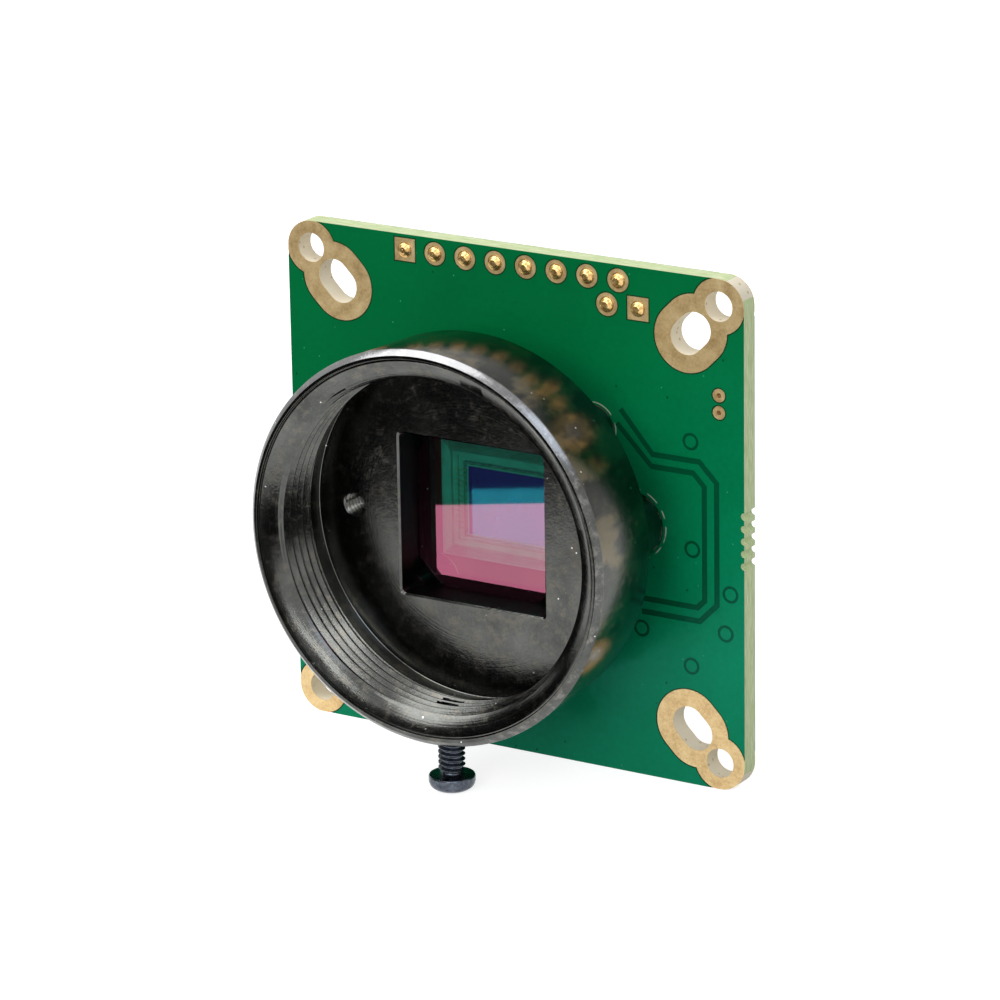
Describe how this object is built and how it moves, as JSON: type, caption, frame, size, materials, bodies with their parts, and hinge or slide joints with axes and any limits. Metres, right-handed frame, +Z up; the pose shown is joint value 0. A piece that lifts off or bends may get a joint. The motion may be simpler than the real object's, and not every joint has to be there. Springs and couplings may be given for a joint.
{
  "type": "board camera module",
  "caption": "Square camera board that stands upright, with gold-plated corner fixings, wire terminals, and a black threaded lens mount with a lock screw over its image sensor.",
  "frame": {"origin": "centre of the board's front face, which the lens axis and the centre of the four corner holes share", "axes": "the lens looks along -Y, +X is to the right seen from the front, +Z is up towards the edge with the wire terminals"},
  "size_m": [0.038, 0.0181, 0.038],
  "materials": {
    "board_laminate": "glossy green coating over glass-fibre laminate, bare straw-coloured edges",
    "gold_plating": "thin gold plating, satin",
    "solder": "smooth warm-toned solder domes",
    "black_anodised": "satin black anodised, machined inside",
    "black_screw": "black oxide",
    "plain_screw": "zinc plated",
    "filter_glass": "pale cyan coated glass with a pink reflection",
    "sensor_ceramic": "matt pale package",
    "sensor_silicon": "blue coated silicon",
    "cover_glass": "clear coated glass",
    "black_epoxy": "moulded black epoxy",
    "tinned_lead": "matt tin",
    "crystal_metal": "nickel plated can",
    "ferrite": "dark grey ferrite and copper winding",
    "tantalum_epoxy": "moulded ochre epoxy with a polarity band",
    "capacitor_ceramic": "tan ceramic with tinned ends",
    "resistor_film": "black film on white ceramic with tinned ends",
    "socket_nylon": "off-white nylon"
  },
  "bodies": {
    "root": {"board": "board_laminate", "corner_lands": "gold_plating", "terminal_lands": "gold_plating", "terminal_joints": "solder", "test_vias": "gold_plating", "lens_mount": "black_anodised", "lens_lock_screw": "black_screw", "mount_screws": "plain_screw", "ir_filter": "filter_glass", "sensor_body": "sensor_ceramic", "sensor_die": "sensor_silicon", "sensor_bond_wires": "gold_plating", "sensor_cover_glass": "cover_glass", "processor_body": "black_epoxy", "processor_leads": "tinned_lead", "memory_body": "black_epoxy", "memory_leads": "tinned_lead", "crystal_can": "crystal_metal", "power_inductor": "ferrite", "regulator_bodies": "black_epoxy", "regulator_leads": "tinned_lead", "tantalum_capacitors": "tantalum_epoxy", "tantalum_strips": "tinned_lead", "ceramic_capacitors": "capacitor_ceramic", "chip_resistors": "resistor_film", "cable_socket": "socket_nylon", "socket_contacts": "gold_plating"}
  },
  "joints": []
}
